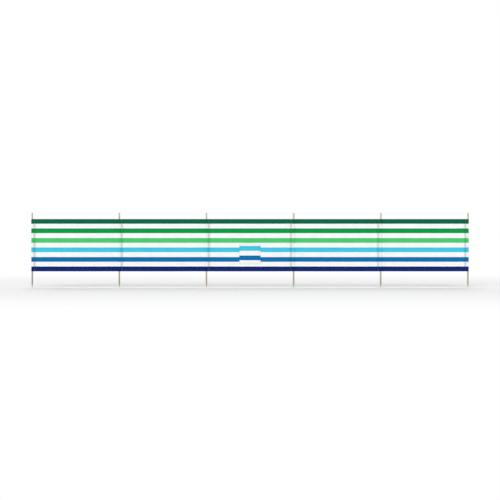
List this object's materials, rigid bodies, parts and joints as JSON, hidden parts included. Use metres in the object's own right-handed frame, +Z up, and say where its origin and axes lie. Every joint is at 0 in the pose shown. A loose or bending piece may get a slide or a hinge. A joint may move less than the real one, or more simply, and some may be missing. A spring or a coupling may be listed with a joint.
{
  "type": "beach windbreak",
  "caption": "Straight beach windbreak: horizontally striped cloth sewn into sleeves round pointed wooden poles, with a patch pocket in the middle bay.",
  "frame": {"origin": "centre of the blunt point of the first pole, the left one seen from the side with the pocket", "axes": "+X along the windbreak from the first pole to the last, +Y through the cloth away from the pocket, +Z up the poles"},
  "size_m": [6.096, 0.0504, 1.0389],
  "materials": {
    "pole_wood": "bare sanded softwood dowel, pale, with fine upright grain",
    "bay_cloth": "plain-woven polyester, white with printed green, cyan, blue and navy stripes, slight sheen",
    "sleeve_cloth": "the same striped polyester, drawn tight round the poles",
    "hem_cloth": "the same striped polyester, turned over and sewn",
    "pocket_cloth": "the same striped polyester, its stripes set a little higher than the bay's"
  },
  "bodies": {
    "root": {"pole_1": "pole_wood", "sleeve_1": "sleeve_cloth", "pole_2": "pole_wood", "sleeve_2": "sleeve_cloth", "pole_3": "pole_wood", "sleeve_3": "sleeve_cloth", "pole_4": "pole_wood", "sleeve_4": "sleeve_cloth", "pole_5": "pole_wood", "sleeve_5": "sleeve_cloth", "pole_6": "pole_wood", "sleeve_6": "sleeve_cloth", "bay_1_cloth": "bay_cloth", "top_hem_1": "hem_cloth", "bottom_hem_1": "hem_cloth", "bay_2_cloth": "bay_cloth", "top_hem_2": "hem_cloth", "bottom_hem_2": "hem_cloth", "bay_3_cloth": "bay_cloth", "top_hem_3": "hem_cloth", "bottom_hem_3": "hem_cloth", "bay_4_cloth": "bay_cloth", "top_hem_4": "hem_cloth", "bottom_hem_4": "hem_cloth", "bay_5_cloth": "bay_cloth", "top_hem_5": "hem_cloth", "bottom_hem_5": "hem_cloth", "pocket_front": "pocket_cloth", "pocket_mouth_hem": "pocket_cloth", "pocket_bottom_hem": "pocket_cloth"}
  },
  "joints": []
}
